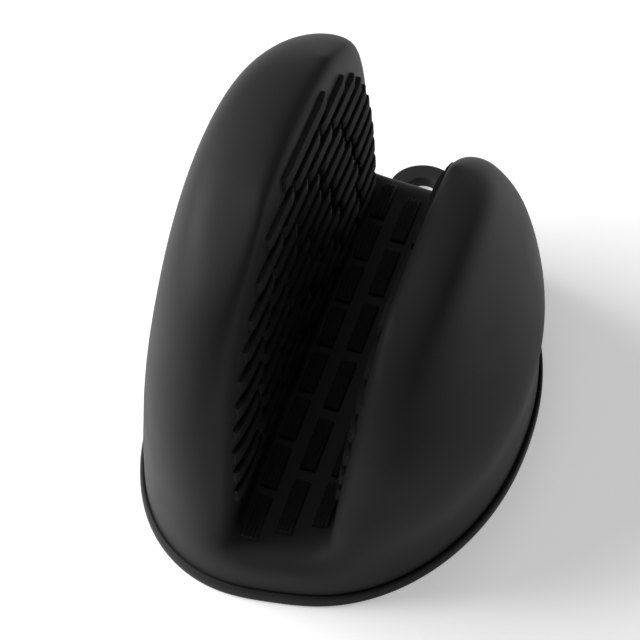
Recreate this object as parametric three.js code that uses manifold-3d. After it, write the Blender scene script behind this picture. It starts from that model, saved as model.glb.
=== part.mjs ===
// A two-pocket silicone oven mitt that stands on its open rim: a tall finger pocket on -X, a shorter
// thumb pocket on +X, and a low web between them that bends when the hand pinches.
// Millimetres, +Z up. The origin ends up on the floor, in the middle of the whole mitt's box.
import * as THREE from "three";
import { mergeVertices } from "three/addons/utils/BufferGeometryUtils.js";
import Module from "manifold-3d";

const wasm = await Module();
wasm.setup();

// ---- driving dimensions ----
const HALF_LENGTH = 65.4; // rim, along Y
const FINGER_BREADTH = 45.5; // rim, from the middle to the finger side
const THUMB_BREADTH = 45.4; // rim, from the middle to the thumb side
// How far each side's diagonals stand outside an ellipse.
const FINGER_SQUARENESS = 0.11;
const THUMB_SQUARENESS = 0.02;
const SKIRT_TAPER = 1; // size of the skirt at the web, to its size at the rim
const WEB_HEIGHT = 16.3; // half way along
const WEB_TILT = 0.056; // the web rises towards the hang loop
const WEB_CROWN = 1.4; // how much the web's middle stands above the line between its ends
const WALL = 2.4;
const GAP = 0.3; // between neighbouring solids
const BEAD_HEIGHT = 3;
const BEAD_PROUD = 1.2; // how far the rim bead stands out of the wall

// A pocket's outline, level by level: height, half length along Y, outer and inner face from the middle,
// and how far the level's front and back ends hang below its height.
const FINGER_LEVELS = [
  { z: 21, half: 65.8, outer: 45.8, inner: 11.2, drop: 0 },
  { z: 31, half: 65, outer: 45.2, inner: 11.1, drop: 0 },
  { z: 46, half: 63.2, outer: 43.7, inner: 11.3, drop: 0 },
  { z: 61, half: 60, outer: 41.4, inner: 11.6, drop: 0 },
  { z: 76, half: 54.4, outer: 39, inner: 11.8, drop: 2.5 },
  { z: 89, half: 44.6, outer: 35.6, inner: 12.2, drop: 6 },
  { z: 96, half: 27.5, outer: 30.4, inner: 13.4, drop: 5 },
];
const THUMB_LEVELS = [
  { z: 21, half: 62, outer: 46.1, inner: 11.6, drop: 0 },
  { z: 29, half: 58, outer: 44.6, inner: 12.2, drop: 0 },
  { z: 38.5, half: 53.8, outer: 40.9, inner: 12.9, drop: 0 },
  { z: 48, half: 48.4, outer: 36.8, inner: 13.8, drop: 1 },
  { z: 58.5, half: 41.6, outer: 32.6, inner: 14.9, drop: 3 },
  { z: 68.6, half: 29, outer: 28.8, inner: 16, drop: 5.5 },
];
// A pocket's section, from a front or back corner of its inner face round the outside to its middle:
// how far out of the pocket's thickness, and how far along its half length.
const OUTER_SECTION = [
  [0.045, 0.955],
  [0.33, 1],
  [0.64, 0.9],
  [0.86, 0.65],
  [0.97, 0.34],
  [1, 0],
];
const INNER_SECTION = [0.79, 0.6, 0.4, 0.2, 0]; // along the inner face, corner to middle

// The pinch: the web bends about a line along Y, between its middle and right columns of blocks.
const PINCH_X = 4.2;
const PINCH_Z = WEB_HEIGHT + WEB_TILT * HALF_LENGTH + 0.8;
const SPLIT_AT_RIM = 2.6; // room at the rim for the two halves to spread

// The hang loop, flat on the floor behind the rim.
const LOOP_X = -3.5;
const LOOP_OUTER = 9.1; // radius
const LOOP_HOLE = 3.9; // radius
const LOOP_THICK = 3.2;
const LOOP_NECK = 9; // width of the root that joins the rim
const RIM_SWELL = 1.4; // how far the rim beside the root stands out behind the rim's middle
// The root bends about this line.
const LOOP_FLEX_Y = HALF_LENGTH + RIM_SWELL + BEAD_PROUD + GAP + LOOP_THICK / 2;
const LOOP_CENTRE_Y = LOOP_FLEX_Y + 8.5;

// Grip ribs on the two inner faces, one row above another, and blocks on the web.
const RIB_WIDTH = 3.6;
const RIB_PROUD = 1.4;
// Each field of ribs: its rows, the height of the lowest one and the step between them. Their ends
// lie on half an ellipse of this base height, half length and height.
const RIB_FIELDS = {
  finger: { rows: 11, first: 24.6, pitch: 6.3, halfLength: 57, base: 30, height: 60, reach: [-22, -4] },
  thumb: { rows: 7, first: 24.8, pitch: 5.7, halfLength: 50, base: 28, height: 37, reach: [4, 24] },
};
const BLOCK_WIDTH = 4;
const BLOCK_PROUD = 1.6;
const BLOCK_COLUMNS = [
  { side: "left", x: -7.4, length: 12.6, pitch: 15.3, count: 8 },
  { side: "middle", x: 0, length: 15.4, pitch: 19.3, count: 6 },
  { side: "right", x: 8, length: 12.6, pitch: 15.3, count: 7 },
];

const RING_POINTS = 24; // points round the rim, every 15 degrees
const WEB_CUTS = 9; // rows across the web between its front and back edges
const BIG = 400;

const SILICONE = { color: 0x2a2a2c, roughness: 0.62, metalness: 0 };
const RIB_SILICONE = { color: 0x242426, roughness: 0.7, metalness: 0 };

// ---- control cage ----
// A point of the skirt at ring point k, for a ring scaled by s.
function rimPoint(k, s) {
  const angle = (2 * Math.PI * k) / RING_POINTS;
  const onFingers = Math.cos(angle) < 0;
  const breadth = onFingers ? FINGER_BREADTH : THUMB_BREADTH;
  const squareness = onFingers ? FINGER_SQUARENESS : THUMB_SQUARENESS;
  const square = 1 + squareness * Math.abs(Math.sin(2 * angle));
  return [breadth * Math.cos(angle) * square * s, HALF_LENGTH * Math.sin(angle) * square * s];
}

// The mitt's outer surface as an open cage of quads: skirt, web and two capped pockets.
function makeCage() {
  const points = [];
  const faces = [];
  const add = (x, y, z) => points.push([x, y, z]) - 1;

  const joinRings = (lower, upper) => {
    lower.forEach((p, i) => {
      const next = (i + 1) % lower.length;
      faces.push([p, lower[next], upper[next], upper[i]]);
    });
  };

  // Rings at the rim, half way up and at the web, which is higher towards the back.
  const rings = [0, 0.5, 1].map((share) => {
    const size = 1 + (SKIRT_TAPER - 1) * share;
    return Array.from({ length: RING_POINTS }, (_, k) => {
      const [x, y] = rimPoint(k, size);
      return add(x, y, share * (WEB_HEIGHT + WEB_TILT * y));
    });
  });
  joinRings(rings[0], rings[1]);
  joinRings(rings[1], rings[2]);
  const top = rings[2];

  // The web's rows run from the front edge to the back edge, three points in each.
  const front = [top[17], top[18], top[19]];
  const back = [top[7], top[6], top[5]];
  const rows = [front];
  for (let j = 1; j <= WEB_CUTS; j++) {
    const t = j / (WEB_CUTS + 1);
    const rise = WEB_CROWN * Math.sin(Math.PI * t);
    rows.push(
      front.map((f, i) => {
        const [a, b] = [points[f], points[back[i]]];
        const [x, y, z] = a.map((c, axis) => c + (b[axis] - c) * t);
        return add(x, y, z + rise);
      }),
    );
  }
  rows.push(back);
  for (let j = 0; j < rows.length - 1; j++)
    for (let i = 0; i < 2; i++)
      faces.push([rows[j][i], rows[j][i + 1], rows[j + 1][i + 1], rows[j + 1][i]]);

  const innerRows = rows.slice(1, -1);
  const fingerLoop = [...top.slice(7, 18), ...innerRows.map((r) => r[0])];
  const thumbOuter = Array.from({ length: 11 }, (_, i) => top[(19 + i) % RING_POINTS]);
  const thumbLoop = [...thumbOuter, ...innerRows.map((r) => r[2]).reverse()];

  // Raise one pocket from its loop: eleven points round the outside, then nine along the inner face.
  const raise = (loop, levels, side) => {
    const base = loop.map((i) => points[i]);
    const halfLength = Math.max(...base.map((p) => Math.abs(p[1])));
    const innerX = Math.abs(base[0][0]);
    const outerX = Math.max(...base.map((p) => Math.abs(p[0])));
    let lower = loop;
    levels.forEach((level, n) => {
      const oval = Math.min(1, (n + 1) / 3); // full section from the third level up
      const upper = base.map((p, i) => {
        const along = Math.abs(p[1]) / halfLength;
        const out = i <= 10 ? (Math.abs(p[0]) - innerX) / (outerX - innerX) : 0;
        const [sectionOut, sectionAlong] =
          i <= 10
            ? OUTER_SECTION[Math.min(i, 10 - i)]
            : [0, INNER_SECTION[Math.min(i - 11, 19 - i)]];
        const t = out + (sectionOut - out) * oval;
        const y = along + (sectionAlong - along) * oval;
        const x = level.inner + (level.outer - level.inner) * t;
        return add(side * x, Math.sign(p[1]) * y * level.half, level.z - level.drop * y * y);
      });
      joinRings(lower, upper);
      lower = upper;
    });
    const outer = lower.slice(1, 10);
    const inner = lower.slice(11).reverse();
    faces.push([lower[0], outer[0], inner[0]]);
    for (let i = 0; i < outer.length - 1; i++)
      faces.push([outer[i], outer[i + 1], inner[i + 1], inner[i]]);
    faces.push([outer[8], lower[10], inner[8]]);
  };
  raise(fingerLoop, FINGER_LEVELS, -1);
  raise(thumbLoop, THUMB_LEVELS, 1);
  return { points, faces };
}

const average = (list) => [0, 1, 2].map((k) => list.reduce((sum, p) => sum + p[k], 0) / list.length);

// One Catmull-Clark step on an open cage. Its open edge stays a smooth curve of its own.
function subdivide({ points, faces }) {
  const facePoints = faces.map((f) => average(f.map((i) => points[i])));
  const edges = new Map();
  const key = (a, b) => Math.min(a, b) + "_" + Math.max(a, b);
  const touching = points.map(() => ({ faces: [], ends: [], open: [] }));
  faces.forEach((f, n) => {
    f.forEach((a, i) => {
      const b = f[(i + 1) % f.length];
      if (!edges.has(key(a, b))) {
        edges.set(key(a, b), { a, b, faces: [] });
        touching[a].ends.push(b);
        touching[b].ends.push(a);
      }
      edges.get(key(a, b)).faces.push(n);
      touching[a].faces.push(n);
    });
  });
  const edgePoints = [];
  for (const edge of edges.values()) {
    edge.index = points.length + edgePoints.length;
    const ends = [points[edge.a], points[edge.b]];
    if (edge.faces.length === 2) {
      edgePoints.push(average([...ends, ...edge.faces.map((n) => facePoints[n])]));
    } else {
      edgePoints.push(average(ends));
      touching[edge.a].open.push(edge.b);
      touching[edge.b].open.push(edge.a);
    }
  }
  const moved = points.map((p, v) => {
    const near = touching[v];
    if (near.open.length === 2) {
      const [a, b] = near.open.map((i) => points[i]);
      return p.map((c, k) => 0.75 * c + 0.125 * (a[k] + b[k]));
    }
    const n = near.faces.length;
    const q = average(near.faces.map((i) => facePoints[i]));
    const r = average(near.ends.map((i) => average([p, points[i]])));
    return p.map((c, k) => (q[k] + 2 * r[k] + (n - 3) * c) / n);
  });
  const firstFace = points.length + edgePoints.length;
  const quads = [];
  faces.forEach((f, n) => {
    f.forEach((a, i) => {
      const b = f[(i + 1) % f.length];
      const before = f[(i + f.length - 1) % f.length];
      quads.push([a, edges.get(key(a, b)).index, firstFace + n, edges.get(key(before, a)).index]);
    });
  });
  return { points: [...moved, ...edgePoints, ...facePoints], faces: quads };
}

// ---- solids ----
function solidOf(geometry) {
  const bare = geometry.clone();
  bare.deleteAttribute("normal");
  bare.deleteAttribute("uv");
  const merged = mergeVertices(bare, 1e-4);
  return new wasm.Manifold(
    new wasm.Mesh({
      numProp: 3,
      vertProperties: merged.attributes.position.array,
      triVerts: new Uint32Array(merged.index.array),
    }),
  );
}

function geometryOf(solid) {
  const mesh = solid.getMesh();
  const geometry = new THREE.BufferGeometry();
  geometry.setAttribute("position", new THREE.BufferAttribute(mesh.vertProperties, 3));
  geometry.setIndex(new THREE.BufferAttribute(mesh.triVerts, 1));
  const loose = geometry.toNonIndexed();
  loose.computeVertexNormals();
  return loose;
}

// A solid box between two corners.
function block(low, high) {
  const size = high.map((c, k) => c - low[k]);
  const geometry = new THREE.BoxGeometry(...size);
  geometry.translate(...low.map((c, k) => c + size[k] / 2));
  return solidOf(geometry);
}

// Smooth unit normals of the open surface.
function vertexNormals({ points, faces }) {
  const normals = points.map(() => new THREE.Vector3());
  const at = (i) => new THREE.Vector3(...points[i]);
  faces.forEach((f) => {
    const across = at(f[2]).sub(at(f[0]));
    const other = at(f[3]).sub(at(f[1]));
    const normal = across.cross(other);
    f.forEach((i) => normals[i].add(normal));
  });
  return normals.map((n) => n.normalize());
}

const surface = subdivide(makeCage());
const surfaceNormals = vertexNormals(surface);
const openLoop = surface.points
  .map((p, i) => ({ i, z: p[2], angle: Math.atan2(p[1], p[0]) }))
  .filter((p) => p.z < 1e-9)
  .sort((a, b) => a.angle - b.angle)
  .map((p) => p.i);

// The solid inside the surface moved out by `offset`, closed by a flat face a little below the floor.
function offsetSolid(offset) {
  const below = -5;
  const coordinates = [];
  surface.points.forEach((p, i) => {
    const n = surfaceNormals[i];
    const onRim = p[2] < 1e-9;
    const flat = onRim ? Math.hypot(n.x, n.y) : 1;
    coordinates.push(
      p[0] + (n.x / flat) * offset,
      p[1] + (n.y / flat) * offset,
      onRim ? 0 : p[2] + n.z * offset,
    );
  });
  const rimCount = openLoop.length;
  const firstLow = surface.points.length;
  openLoop.forEach((i) => coordinates.push(coordinates[3 * i], coordinates[3 * i + 1], below));
  const middle = firstLow + rimCount;
  coordinates.push(0, 0, below);
  const index = [];
  surface.faces.forEach(([a, b, c, d]) => index.push(a, b, c, a, c, d));
  openLoop.forEach((a, i) => {
    const next = (i + 1) % rimCount;
    const b = openLoop[next];
    const [lowA, lowB] = [firstLow + i, firstLow + next];
    index.push(b, a, lowA, b, lowA, lowB);
    index.push(middle, lowB, lowA);
  });
  const geometry = new THREE.BufferGeometry();
  geometry.setAttribute("position", new THREE.Float32BufferAttribute(coordinates, 3));
  geometry.setIndex(index);
  return solidOf(geometry);
}

const outside = offsetSolid(0);
const inside = offsetSolid(-WALL);
const nearSkin = offsetSolid(GAP);
const shell = outside.subtract(inside);

// A band of heights across the whole mitt.
const band = (low, high) => block([-BIG, -BIG, low], [BIG, BIG, high]);

// The finger half and the thumb half, parted by a slot that is wide at the rim and narrow at the web.
function halfSpace(side) {
  const web = PINCH_X + (side * GAP) / 2;
  const rim = PINCH_X + (side * SPLIT_AT_RIM) / 2;
  const outline = new THREE.Shape([
    new THREE.Vector2(web, BIG),
    new THREE.Vector2(web, PINCH_Z),
    new THREE.Vector2(rim, 0),
    new THREE.Vector2(rim, -BIG),
    new THREE.Vector2(side * BIG, -BIG),
    new THREE.Vector2(side * BIG, BIG),
  ]);
  const geometry = new THREE.ExtrudeGeometry(outline, { depth: 2 * BIG, bevelEnabled: false });
  geometry.rotateX(Math.PI / 2);
  geometry.translate(0, BIG, 0);
  return solidOf(geometry);
}
const halves = { finger: halfSpace(-1), thumb: halfSpace(1) };

const group = new THREE.Group();
function addNode(name, solid, look) {
  const mesh = new THREE.Mesh(geometryOf(solid), new THREE.MeshStandardMaterial(look));
  mesh.name = name;
  group.add(mesh);
}

// The box that holds the web between the two pockets' inner faces.
const webSide = 10.2;
const webTop = WEB_HEIGHT + WEB_TILT * HALF_LENGTH + 2;
const webBottom = WEB_HEIGHT - WEB_TILT * HALF_LENGTH - WALL - 1.5;
const webSpace = (grow) =>
  block([-webSide - grow, -BIG, webBottom - grow], [webSide + grow, BIG, webTop + grow]);

function addShells() {
  for (const side of ["finger", "thumb"]) {
    const half = shell.intersect(halves[side]);
    const cuffTop = WEB_HEIGHT - 1;
    const cuff = half.intersect(band(BEAD_HEIGHT + GAP, cuffTop)).subtract(webSpace(GAP));
    const web = half.intersect(webSpace(0)).intersect(band(webBottom, BIG));
    const pocket = half.intersect(band(cuffTop + GAP, BIG)).subtract(webSpace(GAP));
    addNode(side + "_pocket", pocket, SILICONE);
    addNode(side + "_cuff", cuff, SILICONE);
    addNode(side + "_web", web, SILICONE);
  }
}

function addRimBeads() {
  const ring = offsetSolid(BEAD_PROUD).subtract(inside).intersect(band(0, BEAD_HEIGHT));
  for (const side of ["finger", "thumb"])
    addNode(side + "_rim_bead", ring.intersect(halves[side]), SILICONE);
}

// A flat ring with a straight root. The root's end is round about the line it bends about, so that it
// turns beside the rim bead without touching it.
function addHangLoop() {
  const outline = new THREE.Shape();
  const half = LOOP_NECK / 2;
  const meet = Math.asin(half / LOOP_OUTER);
  outline.moveTo(-half, LOOP_FLEX_Y - LOOP_CENTRE_Y);
  outline.lineTo(half, LOOP_FLEX_Y - LOOP_CENTRE_Y);
  outline.absarc(0, 0, LOOP_OUTER, -Math.PI / 2 + meet, Math.PI * 1.5 - meet, false);
  const hole = new THREE.Path();
  hole.absarc(0, 0, LOOP_HOLE, 0, 2 * Math.PI, true);
  outline.holes.push(hole);
  const ring = new THREE.ExtrudeGeometry(outline, {
    depth: LOOP_THICK,
    bevelEnabled: false,
    curveSegments: 12,
  });
  ring.translate(LOOP_X, LOOP_CENTRE_Y, 0);
  const end = new THREE.CylinderGeometry(LOOP_THICK / 2, LOOP_THICK / 2, LOOP_NECK, 12);
  end.rotateZ(Math.PI / 2);
  end.translate(LOOP_X, LOOP_FLEX_Y, LOOP_THICK / 2);
  addNode("hang_loop", solidOf(ring).add(solidOf(end)), SILICONE);
}

// A strip of the skin's outer side, `proud` thick, cut out by a box.
const onSkin = (box, proud) => box.intersect(offsetSolid(proud)).subtract(nearSkin);

function addRibs(side, { rows, first, pitch, halfLength, base, height, reach }) {
  for (let row = 0; row < rows; row++) {
    const z = first + row * pitch;
    const half = halfLength * Math.sqrt(1 - Math.max(0, (z - base) / height) ** 2);
    const low = [reach[0], -half, z - RIB_WIDTH / 2];
    const high = [reach[1], half, z + RIB_WIDTH / 2];
    const number = String(row + 1).padStart(2, "0");
    addNode(side + "_rib_row_" + number, onSkin(block(low, high), RIB_PROUD), RIB_SILICONE);
  }
}

function addBlocks() {
  for (const { side, x, length, pitch, count } of BLOCK_COLUMNS)
    for (let i = 0; i < count; i++) {
      const y = (i - (count - 1) / 2) * pitch;
      const web = WEB_HEIGHT + WEB_TILT * y;
      const ceiling = RIB_FIELDS.finger.first - RIB_WIDTH / 2 - GAP;
      const low = [x - BLOCK_WIDTH / 2, y - length / 2, web - 3];
      const high = [x + BLOCK_WIDTH / 2, y + length / 2, Math.min(web + 4.5, ceiling)];
      addNode("web_block_" + side + "_" + (i + 1), onSkin(block(low, high), BLOCK_PROUD), RIB_SILICONE);
    }
}

addShells();
addRimBeads();
addHangLoop();
for (const side of ["finger", "thumb"]) addRibs(side, RIB_FIELDS[side]);
addBlocks();

// Stand the mitt on the floor with the middle of its box over the origin.
const box = new THREE.Box3().setFromObject(group);
const middle = box.getCenter(new THREE.Vector3());
group.position.set(-middle.x, -middle.y, 0);

export default group;
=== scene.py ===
"""The looks of a two-pocket silicone oven mitt that stands on its open rim."""

import math

import bmesh
import bpy
from mathutils import Matrix, Vector


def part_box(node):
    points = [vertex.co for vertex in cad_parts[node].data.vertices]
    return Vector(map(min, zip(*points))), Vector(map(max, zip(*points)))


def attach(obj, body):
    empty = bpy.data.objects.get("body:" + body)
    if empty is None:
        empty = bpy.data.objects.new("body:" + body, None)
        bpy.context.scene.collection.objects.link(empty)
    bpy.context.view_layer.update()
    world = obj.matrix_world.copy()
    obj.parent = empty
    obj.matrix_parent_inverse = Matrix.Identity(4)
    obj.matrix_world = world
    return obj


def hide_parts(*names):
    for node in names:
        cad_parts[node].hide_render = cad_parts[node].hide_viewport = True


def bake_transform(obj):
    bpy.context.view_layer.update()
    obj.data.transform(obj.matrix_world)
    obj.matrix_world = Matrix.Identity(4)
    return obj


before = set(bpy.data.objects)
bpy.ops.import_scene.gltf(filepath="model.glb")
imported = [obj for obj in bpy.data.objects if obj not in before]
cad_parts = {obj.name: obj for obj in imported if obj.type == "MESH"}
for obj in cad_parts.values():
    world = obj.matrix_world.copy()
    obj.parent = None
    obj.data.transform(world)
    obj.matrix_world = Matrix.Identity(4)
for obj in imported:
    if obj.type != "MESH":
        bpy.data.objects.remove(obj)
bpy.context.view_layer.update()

MM = 0.001

# ---- driving dimensions, in millimetres from the middle of the rim ----
HALF_LENGTH = 65.4
FINGER_BREADTH = 45.5
THUMB_BREADTH = 45.4
FINGER_SQUARENESS = 0.11
THUMB_SQUARENESS = 0.02
SKIRT_TAPER = 1
WEB_HEIGHT = 16.3
WEB_TILT = 0.056
WEB_CROWN = 1.4
WALL = 2.4
BEAD_PROUD = 1.2

# A pocket level by level: height, half length, outer face and inner face from the middle,
# and how far the level's front and back ends hang below its height.
FINGER_LEVELS = [
    (21, 65.8, 45.8, 11.2, 0),
    (31, 65, 45.2, 11.1, 0),
    (46, 63.2, 43.7, 11.3, 0),
    (61, 60, 41.4, 11.6, 0),
    (76, 54.4, 39, 11.8, 2.5),
    (89, 44.6, 35.6, 12.2, 6),
    (96, 27.5, 30.4, 13.4, 5),
]
THUMB_LEVELS = [
    (21, 62, 46.1, 11.6, 0),
    (29, 58, 44.6, 12.2, 0),
    (38.5, 53.8, 40.9, 12.9, 0),
    (48, 48.4, 36.8, 13.8, 1),
    (58.5, 41.6, 32.6, 14.9, 3),
    (68.6, 29, 28.8, 16, 5.5),
]
# A pocket's section from a corner of its inner face to the middle of its outer face:
# how far out of the thickness, how far along the half length.
OUTER_SECTION = [(0.045, 0.955), (0.33, 1), (0.64, 0.9), (0.86, 0.65), (0.97, 0.34), (1, 0)]
# The same for the inner face, where only the place along the half length changes.
INNER_SECTION = [0.79, 0.6, 0.4, 0.2, 0]

RING_POINTS = 24
RING_TURN = 360 / RING_POINTS
SKIRT_STEPS = (0, 0.5, 1)
LOWEST_SKIRT = 0.3
WEB_CUTS = 9
# The share of the half length between two of the web's points, and where the first of them is.
WEB_STEP = 2 / (WEB_CUTS + 1)
FIRST_WEB_SHARE = 1 - WEB_STEP
# A pocket point belongs to the inner face if it is this near to it, and short of the corner.
INNER_REACH = 1.02
INNER_END = 0.95
WEB_HALF_WIDTH = 15
# The share of the half length beyond which a skirt point is at the web's end.
WEB_END_SHARE = 0.9
# A pocket's section is reached over this many levels, from the skirt's own outline.
LEVELS_TO_SECTION = 3
# Pocket points are numbered from here, so that they can't be taken for rim points.
FIRST_POCKET_NUMBER = 100
SKIN_LEVELS = 3

# Angles, in degrees, below which neighbouring faces are shaded as one.
SKIN_SMOOTH = 50
GRIP_SMOOTH = 60
LOOP_SMOOTH = 40

LOOP_X = -3.5
LOOP_OUTER = 9.1
LOOP_HOLE = 3.9
LOOP_THICK = 3.2
LOOP_NECK = 9
LOOP_FLEX_Y = 69.9
LOOP_CENTRE_Y = 78.4
LOOP_POINTS = 48
# The loop's root, step by step: how far behind the flex line (less than 0 is in front of it, in
# the rim), and how much wider than the step before.
LOOP_ROOT = ((1.4, 1), (-0.8, 1.06), (-3.2, 1.3))
LOOP_BEVEL = 0.8

# The ribs' segments, from the lowest row to the highest.
FINGER_SEGMENTS = [6, 7, 6, 7, 6, 6, 5, 5, 4, 3, 1]
THUMB_SEGMENTS = [6, 5, 6, 5, 4, 3, 2]
RIB_LENGTH = 20
RIB_HEIGHT = 3.6
RIB_PROUD = 1.1
RIB_RIDGE = 0.22
RIB_ROOT = 0.9
RIB_GAP = 2

BLOCK_WIDTH = 4
BLOCK_LENGTH = 14
BLOCK_PROUD = 1.1
BLOCK_ROOT = 0.9
BLOCK_RIDGE = 0.5
RIDGES = 4
LENGTH_CUTS = 11
# A bar's outer face is this much lower at its ends and at its sides.
END_DROP = 0.35
SIDE_DROP = 0.25
# Blocks are laid on the web from this height, above the web and below the pockets' tops.
ABOVE_WEB = 40


# ---- frame ----
def find_middle():
    """The middle of the rim in the row frame, from where the hang loop is."""
    low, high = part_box("hang_loop")
    x = (low.x + high.x) / 2 - LOOP_X * MM
    y = high.y - (LOOP_CENTRE_Y + LOOP_OUTER) * MM
    return Vector((x, y, 0))


MIDDLE = find_middle()


def at(x, y, z):
    """A point in the row frame, from millimetres measured from the middle of the rim."""
    return MIDDLE + Vector((x, y, z)) * MM


# ---- working in edit mode ----
def choose_only(piece):
    bpy.ops.object.select_all(action="DESELECT")
    piece.select_set(True)
    bpy.context.view_layer.objects.active = piece


def open_edit(piece, kind="VERT"):
    choose_only(piece)
    bpy.ops.object.mode_set(mode="EDIT")
    bpy.ops.mesh.select_mode(type=kind)


def close_edit():
    bpy.ops.object.mode_set(mode="OBJECT")


def select_where(piece, kind, test):
    """Selects only the points, edges or faces that pass a test of their middle."""
    bpy.ops.mesh.select_mode(type=kind)
    bpy.ops.mesh.select_all(action="DESELECT")
    shape = bmesh.from_edit_mesh(piece.data)
    if kind == "VERT":
        for point in shape.verts:
            point.select = test(point)
    elif kind == "EDGE":
        for edge in shape.edges:
            edge.select = test(edge)
    else:
        for face in shape.faces:
            face.select = test(face)
    shape.select_flush_mode()
    bmesh.update_edit_mesh(piece.data)


def move_selected(piece, place):
    """Moves each selected point to where place() puts it."""
    shape = bmesh.from_edit_mesh(piece.data)
    number = shape.verts.layers.int.get("place")
    for point in shape.verts:
        if point.select:
            point.co = place(point[number], point.co)
    bmesh.update_edit_mesh(piece.data)


def apply_modifier(piece, kind, **settings):
    choose_only(piece)
    bpy.ops.object.modifier_add(type=kind)
    modifier = piece.modifiers[-1]
    for name, value in settings.items():
        setattr(modifier, name, value)
    bpy.ops.object.modifier_apply(modifier=modifier.name)


def smooth(piece, degrees):
    choose_only(piece)
    bpy.ops.object.shade_smooth_by_angle(angle=math.radians(degrees))


def copy_of(piece, name):
    twin = piece.copy()
    twin.data = piece.data.copy()
    twin.name = name
    twin.data.name = name
    bpy.context.collection.objects.link(twin)
    return twin


def is_open(edge):
    return len(edge.link_faces) == 1


# ---- skin: skirt, web and two pockets in one moulding ----
HIGH_SKIRT = 0.65 * WEB_HEIGHT * MM


def rim_point(step, size=1.0):
    angle = 2 * math.pi * step / RING_POINTS
    on_fingers = math.cos(angle) < 0
    breadth = FINGER_BREADTH if on_fingers else THUMB_BREADTH
    squareness = FINGER_SQUARENESS if on_fingers else THUMB_SQUARENESS
    square = 1 + squareness * abs(math.sin(2 * angle))
    x = breadth * math.cos(angle) * square * size
    y = HALF_LENGTH * math.sin(angle) * square * size
    return x, y


def make_rim_ring(name):
    bpy.ops.mesh.primitive_circle_add(vertices=RING_POINTS, radius=0.05)
    ring = bpy.context.object
    ring.name = name
    numbers = ring.data.attributes.new("place", "INT", "POINT")
    for point in ring.data.vertices:
        turn = math.atan2(point.co.y, point.co.x) / (2 * math.pi)
        numbers.data[point.index].value = round(turn * RING_POINTS) % RING_POINTS
    return ring


def raise_skirt(skin):
    open_edit(skin, "EDGE")
    bpy.ops.mesh.select_all(action="SELECT")
    for share in SKIRT_STEPS:

        def place(step, _):
            x, y = rim_point(step, 1 + (SKIRT_TAPER - 1) * share)
            return at(x, y, max(LOWEST_SKIRT, share * (WEB_HEIGHT + WEB_TILT * y)))

        if share:
            bpy.ops.mesh.extrude_edges_move()
        move_selected(skin, place)


def bridge_web(skin):
    """Joins the skirt's front and back top edges with a crowned web."""
    edge_x = WEB_HALF_WIDTH * MM
    edge_y = WEB_END_SHARE * HALF_LENGTH * MM

    def at_web_end(edge):
        ends = [point.co - MIDDLE for point in edge.verts]
        high = all(end.z > HIGH_SKIRT for end in ends)
        return high and all(abs(end.x) < edge_x and abs(end.y) > edge_y for end in ends)

    def on_web(point):
        return point.co.z > HIGH_SKIRT and abs(point.co.x - MIDDLE.x) < edge_x

    select_where(skin, "EDGE", at_web_end)
    bpy.ops.mesh.bridge_edge_loops(number_cuts=WEB_CUTS, interpolation="LINEAR")
    select_where(skin, "VERT", on_web)

    def crown(_, co):
        along = abs(co.y - MIDDLE.y) / (HALF_LENGTH * MM * SKIRT_TAPER)
        rise = WEB_CROWN * MM * math.cos(math.pi / 2 * min(1, along))
        return Vector((co.x, co.y, co.z + rise))

    move_selected(skin, crown)


def number_pocket(skin, side):
    """Selects a pocket's open loop and numbers its points, and gives each number's place in it."""
    sign = -1 if side == "finger" else 1

    def on_loop(edge):
        ends = [point.co - MIDDLE for point in edge.verts]
        return all(end.z > HIGH_SKIRT and end.x * sign > 0 for end in ends) and is_open(edge)

    select_where(skin, "EDGE", on_loop)
    shape = bmesh.from_edit_mesh(skin.data)
    number = shape.verts.layers.int.get("place")
    loop = [point for point in shape.verts if point.select]
    breadth = FINGER_BREADTH if side == "finger" else THUMB_BREADTH
    half = max(abs(point.co.y - MIDDLE.y) for point in loop)
    inner = min(abs(point.co.x - MIDDLE.x) for point in loop)
    outer = max(abs(point.co.x - MIDDLE.x) for point in loop)
    places = {}
    for index, point in enumerate(loop):
        x = abs(point.co.x - MIDDLE.x)
        y = point.co.y - MIDDLE.y
        along = abs(y) / half
        if x < inner * INNER_REACH and along < INNER_END:
            out = 0
            section = (0, INNER_SECTION[round((FIRST_WEB_SHARE - along) / WEB_STEP)])
        else:
            out = (x - inner) / (outer - inner)
            turn = math.degrees(math.atan2(x / breadth, abs(y) / HALF_LENGTH))
            section = OUTER_SECTION[round(turn / RING_TURN) - 1]
        point[number] = FIRST_POCKET_NUMBER + index
        end = 1 if y > 0 else -1
        places[FIRST_POCKET_NUMBER + index] = (end, out, along, *section)
    bmesh.update_edit_mesh(skin.data)
    return sign, places


def raise_pocket(skin, side, levels):
    sign, places = number_pocket(skin, side)
    for count, (height, half, outer, inner, drop) in enumerate(levels):
        full = min(1, (count + 1) / LEVELS_TO_SECTION)

        def place(number, _):
            turn, out, along, section_out, section_along = places[number]
            x = inner + (outer - inner) * (out + (section_out - out) * full)
            y = along + (section_along - along) * full
            return at(sign * x, turn * y * half, height - drop * y * y)

        bpy.ops.mesh.extrude_edges_move()
        move_selected(skin, place)
    cap_pocket(skin, places)


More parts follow.
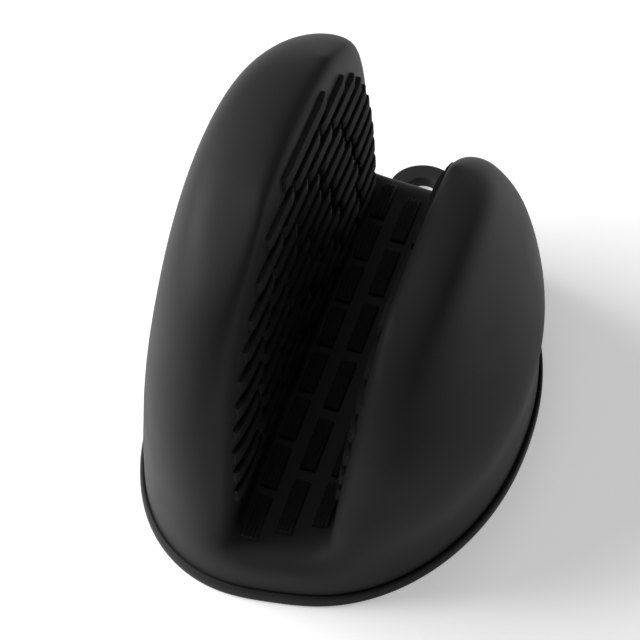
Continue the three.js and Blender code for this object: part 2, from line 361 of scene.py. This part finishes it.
def cap_pocket(skin, places):
    """Closes the last loop: a bridge from the outer points to the inner points, and two corners."""
    corners = [number for number, place in places.items() if place[3:] == OUTER_SECTION[0]]
    shape = bmesh.from_edit_mesh(skin.data)
    number = shape.verts.layers.int.get("place")

    def between_corners(edge):
        numbers = [point[number] for point in edge.verts]
        return all(n in places and n not in corners for n in numbers) and is_open(edge)

    select_where(skin, "EDGE", between_corners)
    bpy.ops.mesh.bridge_edge_loops()
    for corner in corners:
        shape = bmesh.from_edit_mesh(skin.data)
        number = shape.verts.layers.int.get("place")
        open_edges = [edge for edge in shape.edges if is_open(edge)]
        at_corner = [edge for edge in open_edges if corner in [point[number] for point in edge.verts]]
        indexes = {point.index for edge in at_corner for point in edge.verts}
        select_where(skin, "VERT", lambda p: p.index in indexes)
        bpy.ops.mesh.edge_face_add()


def face_outwards(piece):
    open_edit(piece)
    bpy.ops.mesh.select_all(action="SELECT")
    bpy.ops.mesh.normals_make_consistent(inside=False)
    shape = bmesh.from_edit_mesh(piece.data)
    leftmost = min(shape.faces, key=lambda face: face.calc_center_median().x)
    if leftmost.normal.x > 0:
        bpy.ops.mesh.flip_normals()
    close_edit()


def make_outer_skin():
    skin = make_rim_ring("mitt_skin")
    raise_skirt(skin)
    bridge_web(skin)
    raise_pocket(skin, "finger", FINGER_LEVELS)
    raise_pocket(skin, "thumb", THUMB_LEVELS)
    close_edit()
    face_outwards(skin)
    apply_modifier(skin, "SUBSURF", levels=SKIN_LEVELS, render_levels=SKIN_LEVELS)
    return skin


def give_wall(skin):
    apply_modifier(
        skin,
        "SOLIDIFY",
        thickness=WALL * MM,
        offset=-1,
        use_even_offset=True,
        use_quality_normals=True,
    )
    smooth(skin, SKIN_SMOOTH)


def bend_with_web(piece):
    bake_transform(piece)


# ---- rim bead ----
# The bead's section, from the skin's outer face outwards and from the floor up.
BEAD_SECTION = [
    (-2.5, 2.9),
    (-2.55, 0.35),
    (-2.2, 0),
    (0.75, 0),
    (1.05, 0.12),
    (1.2, 0.45),
    (BEAD_PROUD, 1.4),
    (1.15, 2.2),
    (0.98, 2.65),
    (0.68, 2.92),
    (0.35, 2.95),
    (0.08, 2.7),
    (-0.5, 2.6),
]


def make_bead(outline):
    """A closed ring swept along the skirt's lower edge. outline: a copy of the outer skin."""
    open_edit(outline, "EDGE")
    select_where(outline, "EDGE", lambda e: not is_open(e))
    bpy.ops.mesh.delete(type="ONLY_FACE")
    select_where(outline, "VERT", lambda p: p.co.z > 0.5 * MM)
    bpy.ops.mesh.delete(type="VERT")
    close_edit()
    outline.name = "rim_bead"

    def bearing(point):
        return math.atan2(point.co.y - MIDDLE.y, point.co.x - MIDDLE.x)

    points = sorted(outline.data.vertices, key=bearing)
    numbers = outline.data.attributes["place"]
    ways = {}
    for index, point in enumerate(points):
        before = points[index - 1].co
        after = points[(index + 1) % len(points)].co
        along = (after - before).normalized()
        ways[index] = (point.co.copy(), Vector((along.y, -along.x, 0)))
        numbers.data[point.index].value = index
    open_edit(outline, "EDGE")
    bpy.ops.mesh.select_all(action="SELECT")
    for count, (out, height) in enumerate(BEAD_SECTION):

        def place(number, _):
            start, way = ways[number]
            spot = start + way * out * MM
            return Vector((spot.x, spot.y, height * MM))

        if count:
            bpy.ops.mesh.extrude_edges_move()
        move_selected(outline, place)
    select_where(outline, "EDGE", is_open)
    bpy.ops.mesh.bridge_edge_loops()
    close_edit()
    face_outwards(outline)
    smooth(outline, SKIN_SMOOTH)
    return outline


# ---- ribs ----
def raise_ridges(bar, up, across, along, width, length, height):
    """Shapes a bar's outer face into fine parallel ridges, a little lower at its borders."""
    shape = bmesh.from_edit_mesh(bar.data)
    top = max(point.co[up] for point in shape.verts) - 0.05 * MM
    for point in shape.verts:
        if point.co[up] > top:
            share = point.co[across] / (width * MM) + 0.5
            ridge = 0.5 - 0.5 * math.cos(2 * math.pi * RIDGES * share)
            at_end = abs(point.co[along]) > (length / 2 - 0.1) * MM
            at_side = abs(point.co[across]) > (width / 2 - 0.1) * MM
            point.co[up] += (height * ridge - END_DROP * at_end - SIDE_DROP * at_side) * MM
    bmesh.update_edit_mesh(bar.data)


def select_long_edges(bar, axis, least):
    select_where(bar, "EDGE", lambda e: abs((e.verts[1].co - e.verts[0].co)[axis]) > least * MM)


def model_rib():
    """One rib segment: x stands out of the skin, y runs along it."""
    bpy.ops.mesh.primitive_cube_add(size=MM)
    rib = bpy.context.object
    open_edit(rib)
    bpy.ops.mesh.select_all(action="SELECT")
    thickness = RIB_PROUD + RIB_ROOT
    bpy.ops.transform.resize(value=(thickness, RIB_LENGTH, RIB_HEIGHT), center_override=(0, 0, 0))
    bpy.ops.transform.translate(value=((RIB_PROUD - RIB_ROOT) / 2 * MM, 0, 0))
    select_long_edges(rib, 2, 0.9 * RIB_HEIGHT)
    bpy.ops.mesh.subdivide(number_cuts=4 * RIDGES - 1)
    select_long_edges(rib, 1, 0.9 * RIB_LENGTH)
    bpy.ops.mesh.subdivide(number_cuts=LENGTH_CUTS)
    raise_ridges(rib, 0, 2, 1, RIB_HEIGHT, RIB_LENGTH, RIB_RIDGE)
    close_edit()
    smooth(rib, GRIP_SMOOTH)
    return rib


def lay_on_wall(piece, skin, sign):
    """Lays a rib on a pocket's inner face: its x becomes the height above the skin."""
    for point in piece.data.vertices:
        height = point.co.x
        start = Vector((MIDDLE.x, point.co.y, point.co.z))
        hit, spot, normal, _ = skin.ray_cast(start, Vector((sign, 0, 0)))
        if not hit:
            raise RuntimeError("a rib misses the skin")
        point.co = spot + normal * height
    piece.data.update()


def add_rib_row(template, skin, node, side, segments):
    sign = -1 if side == "finger" else 1
    low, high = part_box(node)
    middle_z = (low.z + high.z) / 2
    gap = RIB_GAP * MM
    pitch = (high.y - low.y + gap) / segments
    parts = []
    for index in range(segments):
        part = copy_of(template, node + "_skin")
        y = low.y + pitch * (index + 0.5) - gap / 2
        stretch = Matrix.Diagonal((1, (pitch - gap) / (RIB_LENGTH * MM), 1, 1))
        part.data.transform(Matrix.Translation((0, y, middle_z)) @ stretch)
        parts.append(part)
    bpy.ops.object.select_all(action="DESELECT")
    for part in parts:
        part.select_set(True)
    row = parts[0]
    bpy.context.view_layer.objects.active = row
    if segments > 1:
        bpy.ops.object.join()
    row.name = node + "_bars"
    row.data.name = row.name
    lay_on_wall(row, skin, sign)
    smooth(row, GRIP_SMOOTH)
    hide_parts(node)
    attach(row, side + "_side")
    return row


# ---- web blocks ----
def model_block():
    """One ridged block: x across its ridges, y along them, z above the skin."""
    bpy.ops.mesh.primitive_cube_add(size=MM)
    grip = bpy.context.object
    open_edit(grip)
    bpy.ops.mesh.select_all(action="SELECT")
    height = BLOCK_PROUD + BLOCK_ROOT
    bpy.ops.transform.resize(value=(BLOCK_WIDTH, BLOCK_LENGTH, height), center_override=(0, 0, 0))
    bpy.ops.transform.translate(value=(0, 0, (BLOCK_PROUD - BLOCK_ROOT) / 2 * MM))
    select_long_edges(grip, 0, 0.9 * BLOCK_WIDTH)
    bpy.ops.mesh.subdivide(number_cuts=4 * RIDGES - 1)
    select_long_edges(grip, 1, 0.9 * BLOCK_LENGTH)
    bpy.ops.mesh.subdivide(number_cuts=LENGTH_CUTS)
    raise_ridges(grip, 2, 0, 1, BLOCK_WIDTH, BLOCK_LENGTH, BLOCK_RIDGE)
    close_edit()
    smooth(grip, GRIP_SMOOTH)
    return grip


def lay_on_web(piece, skin):
    """Lays a block on the web: its z becomes the height above the skin."""
    for point in piece.data.vertices:
        height = point.co.z
        start = Vector((point.co.x, point.co.y, ABOVE_WEB * MM))
        hit, spot, _, _ = skin.ray_cast(start, Vector((0, 0, -1)))
        if not hit:
            raise RuntimeError("a block misses the web")
        point.co.z = spot.z + height
    piece.data.update()


def add_block(template, skin, node):
    low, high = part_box(node)
    middle = (low + high) / 2
    grip = copy_of(template, node + "_grip")
    stretch = Matrix.Diagonal((1, (high.y - low.y) / (BLOCK_LENGTH * MM), 1, 1))
    grip.data.transform(Matrix.Translation((middle.x, middle.y, 0)) @ stretch)
    lay_on_web(grip, skin)
    smooth(grip, GRIP_SMOOTH)
    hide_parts(node)
    bend_with_web(grip)
    return grip


# ---- hang loop ----
def make_loop():
    centre = at(LOOP_X, LOOP_CENTRE_Y, 0)
    bpy.ops.mesh.primitive_circle_add(vertices=LOOP_POINTS, radius=LOOP_HOLE * MM, location=centre)
    bpy.ops.object.transform_apply(location=True)
    loop = bpy.context.object
    loop.name = "hang_loop_ring"
    open_edit(loop, "EDGE")
    bpy.ops.mesh.select_all(action="SELECT")
    bpy.ops.mesh.extrude_edges_move()
    grow = LOOP_OUTER / LOOP_HOLE
    bpy.ops.transform.resize(value=(grow, grow, 1), center_override=centre)
    bpy.ops.mesh.select_all(action="SELECT")
    rise = {"value": (0, 0, LOOP_THICK * MM)}
    bpy.ops.mesh.extrude_region_move(TRANSFORM_OT_translate=rise)

    def faces_rim(face):
        spot = face.calc_center_median() - centre
        outside = spot.xy.length > 0.98 * LOOP_OUTER * MM
        return outside and spot.y < 0 and abs(spot.x) < LOOP_NECK / 2 * MM

    bpy.ops.mesh.select_all(action="SELECT")
    bpy.ops.mesh.normals_make_consistent(inside=False)
    select_where(loop, "FACE", faces_rim)
    root = at(LOOP_X, LOOP_FLEX_Y, 0)
    for reach, spread in LOOP_ROOT:
        bpy.ops.mesh.extrude_region_move()
        line = Vector((root.x, root.y + reach * MM, 0))
        bpy.ops.transform.resize(value=(spread, 0, 1), center_override=line)
    close_edit()
    apply_modifier(
        loop,
        "BEVEL",
        width=LOOP_BEVEL * MM,
        segments=4,
        limit_method="ANGLE",
        angle_limit=math.radians(50),
    )
    smooth(loop, LOOP_SMOOTH)
    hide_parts("hang_loop")
    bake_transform(loop)
    return loop


# ---- finishes ----
SPECULAR = 0.09
SHEEN = 0.012
SHEEN_ROUGHNESS = 0.5
PATCH_SCALE = 38
TINT_RANGE = (0.86, 1.14)
GRAIN_SCALE = 2600
GRAIN_DEPTH = 0.06


def silicone(name, colour, roughness, grain):
    """Matte moulded silicone: a fine blasted grain and slow patches of dustier, drier surface."""
    material = bpy.data.materials.new(name)
    material.use_nodes = True
    nodes = material.node_tree.nodes
    links = material.node_tree.links
    shader = nodes["Principled BSDF"]
    shader.inputs["Specular IOR Level"].default_value = SPECULAR
    shader.inputs["Sheen Weight"].default_value = SHEEN
    shader.inputs["Sheen Roughness"].default_value = SHEEN_ROUGHNESS
    where = nodes.new("ShaderNodeTexCoord")

    patches = nodes.new("ShaderNodeTexNoise")
    patches.inputs["Scale"].default_value = PATCH_SCALE
    patches.inputs["Detail"].default_value = 5
    links.new(where.outputs["Object"], patches.inputs["Vector"])

    tint = nodes.new("ShaderNodeMix")
    tint.data_type = "RGBA"
    tint.inputs["A"].default_value = (*[TINT_RANGE[0] * c for c in colour], 1)
    tint.inputs["B"].default_value = (*[TINT_RANGE[1] * c for c in colour], 1)
    links.new(patches.outputs["Fac"], tint.inputs["Factor"])
    links.new(tint.outputs["Result"], shader.inputs["Base Color"])

    dryness = nodes.new("ShaderNodeMapRange")
    dryness.inputs["From Min"].default_value = 0.3
    dryness.inputs["From Max"].default_value = 0.7
    dryness.inputs["To Min"].default_value = roughness - 0.05
    dryness.inputs["To Max"].default_value = roughness + 0.06
    links.new(patches.outputs["Fac"], dryness.inputs["Value"])
    links.new(dryness.outputs["Result"], shader.inputs["Roughness"])

    fine = nodes.new("ShaderNodeTexNoise")
    fine.inputs["Scale"].default_value = GRAIN_SCALE
    fine.inputs["Detail"].default_value = 3
    links.new(where.outputs["Object"], fine.inputs["Vector"])
    bump = nodes.new("ShaderNodeBump")
    bump.inputs["Strength"].default_value = grain
    bump.inputs["Distance"].default_value = GRAIN_DEPTH * MM
    links.new(fine.outputs["Fac"], bump.inputs["Height"])
    links.new(bump.outputs["Normal"], shader.inputs["Normal"])
    return material


def finish_piece(piece, material):
    piece.data.materials.clear()
    piece.data.materials.append(material)


# ---- the mitt ----
def build_mitt():
    body_finish = silicone("matte_black_silicone", (0.03, 0.03, 0.0308), 0.5, 0.5)
    grip_finish = silicone("grip_black_silicone", (0.026, 0.026, 0.0266), 0.56, 0.6)

    skin = make_outer_skin()
    bead = make_bead(copy_of(skin, "rim_bead"))

    rib = model_rib()
    grip = model_block()
    for side, counts in (("finger", FINGER_SEGMENTS), ("thumb", THUMB_SEGMENTS)):
        for number, segments in enumerate(counts, 1):
            row = add_rib_row(rib, skin, f"{side}_rib_row_{number:02d}", side, segments)
            finish_piece(row, grip_finish)
    for node in sorted(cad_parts):
        if node.startswith("web_block_"):
            finish_piece(add_block(grip, skin, node), grip_finish)
    bpy.data.objects.remove(rib)
    bpy.data.objects.remove(grip)

    give_wall(skin)
    shells = [side + part for side in ("finger", "thumb") for part in ("_pocket", "_cuff", "_web")]
    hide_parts(*shells)
    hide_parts("finger_rim_bead", "thumb_rim_bead")
    for piece in (skin, bead):
        bend_with_web(piece)
        finish_piece(piece, body_finish)
    finish_piece(make_loop(), body_finish)


# ---- studio ----
AZIMUTH = math.radians(17.1)
ELEVATION = math.radians(46)
RIGHT = Vector((math.cos(AZIMUTH), math.sin(AZIMUTH), 0))
AWAY = Vector((-math.sin(AZIMUTH), math.cos(AZIMUTH), 0))
UP = AWAY * math.sin(ELEVATION) + Vector((0, 0, math.cos(ELEVATION)))
BACK = -AWAY * math.cos(ELEVATION) + Vector((0, 0, math.sin(ELEVATION)))
# Where the camera looks: the height, and the shift to its left and downwards, in millimetres.
AIM_HEIGHT = 40
AIM_LEFT = 7.8
AIM_DOWN = 6.15
CAMERA_AWAY = 0.8
FLOOR_SIZE = 30


def add_camera():
    bpy.ops.object.camera_add()
    camera = bpy.context.object
    aim = at(0, 0, AIM_HEIGHT) - RIGHT * AIM_LEFT * MM - UP * AIM_DOWN * MM
    turn = Matrix((RIGHT, UP, BACK)).transposed().to_4x4()
    camera.matrix_world = Matrix.Translation(aim + BACK * CAMERA_AWAY) @ turn
    camera.data.sensor_width = 36
    camera.data.lens = 185.4
    camera.data.clip_start = 0.01
    bpy.context.scene.camera = camera


def add_light(name, along, away, high, size, power):
    """A soft square light, aimed at the mitt."""
    spot = MIDDLE + RIGHT * along + AWAY * away + Vector((0, 0, high))
    bpy.ops.object.light_add(type="AREA", location=spot)
    light = bpy.context.object
    light.name = name
    light.data.size = size
    light.data.energy = power
    aim = at(0, 0, 30) - spot
    light.rotation_euler = aim.to_track_quat("-Z", "Y").to_euler()


def add_studio():
    bpy.ops.mesh.primitive_plane_add(size=FLOOR_SIZE)
    floor = bpy.context.object
    floor.name = "floor"
    paper = bpy.data.materials.new("white_floor")
    paper.use_nodes = True
    shader = paper.node_tree.nodes["Principled BSDF"]
    shader.inputs["Base Color"].default_value = (0.86, 0.86, 0.86, 1)
    shader.inputs["Emission Color"].default_value = (1, 1, 1, 1)
    shader.inputs["Emission Strength"].default_value = 0.4
    shader.inputs["Roughness"].default_value = 0.9
    shader.inputs["Specular IOR Level"].default_value = 0.1
    floor.data.materials.append(paper)

    world = bpy.data.worlds.new("studio_air")
    world.use_nodes = True
    sky = world.node_tree.nodes["Background"]
    sky.inputs["Color"].default_value = (1, 1, 1, 1)
    sky.inputs["Strength"].default_value = 0.05
    bpy.context.scene.world = world

    add_light("key_left", -1.1, 0.3, 0.75, 0.9, 24)
    add_light("top", -0.1, 0.1, 1.4, 0.8, 3)
    bpy.context.scene.view_settings.view_transform = "Standard"


build_mitt()
add_studio()
add_camera()
